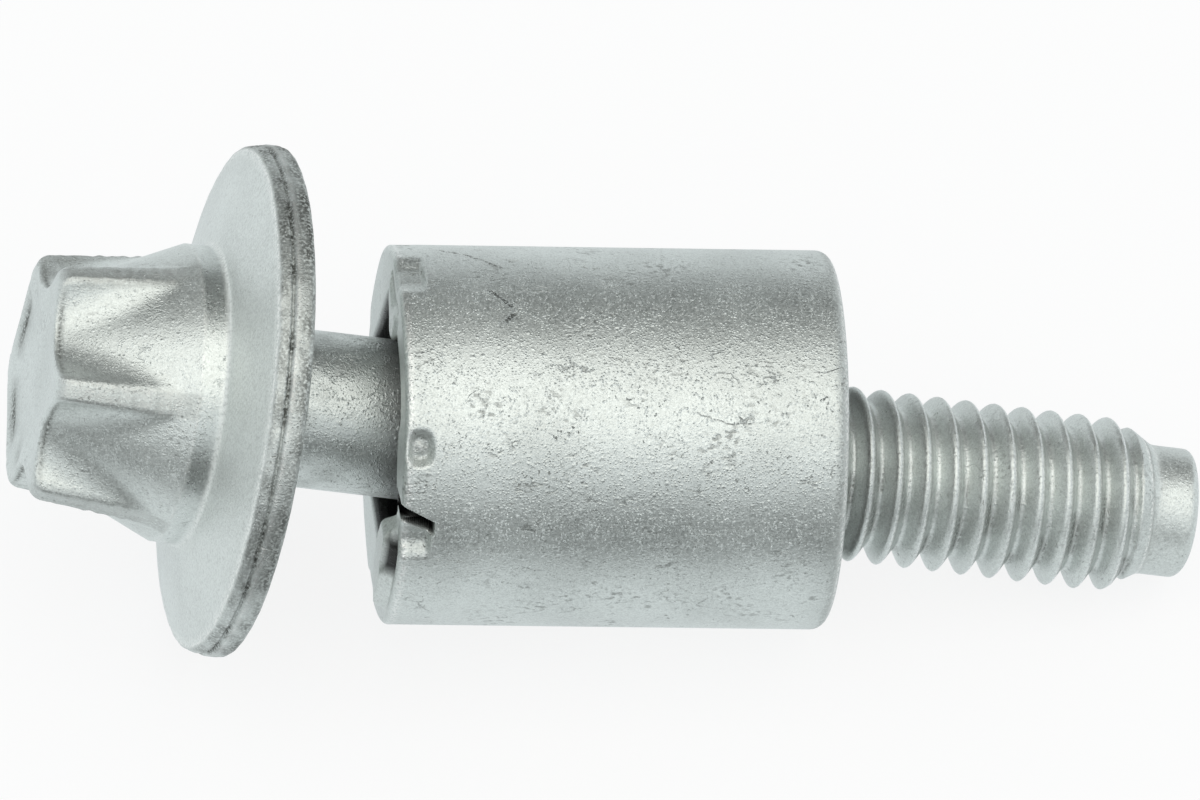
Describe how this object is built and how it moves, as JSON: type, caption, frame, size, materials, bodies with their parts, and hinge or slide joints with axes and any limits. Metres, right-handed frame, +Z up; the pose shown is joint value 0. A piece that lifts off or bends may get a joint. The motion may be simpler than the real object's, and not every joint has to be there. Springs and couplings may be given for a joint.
{
  "type": "valve cover bolt",
  "caption": "Flange bolt with an external lobed drive head, a dog-point thread and a loose staked spacer sleeve on its shank, for holding down an engine's valve cover.",
  "frame": {"origin": "on the floor under the middle of the part as it lies at rest", "axes": "+Z up; +X along the floor from the head towards the thread; the bolt's axis slopes down to +X because the part lies on its flange rim and its last thread"},
  "size_m": [0.0412, 0.0174, 0.0173],
  "materials": {
    "bolt_coat": "matt silver-grey zinc flake coating on steel",
    "sleeve_coat": "grainy silver-grey zinc flake coating on steel"
  },
  "bodies": {
    "bolt": {"bolt": "bolt_coat"},
    "sleeve": {"sleeve": "sleeve_coat"}
  },
  "joints": [
    {"name": "sleeve_slide", "type": "slide", "parent": "bolt", "child": "sleeve", "axis": [0.9829, 0, -0.1841], "range_m": [-0.0037, 0.0124]}
  ]
}
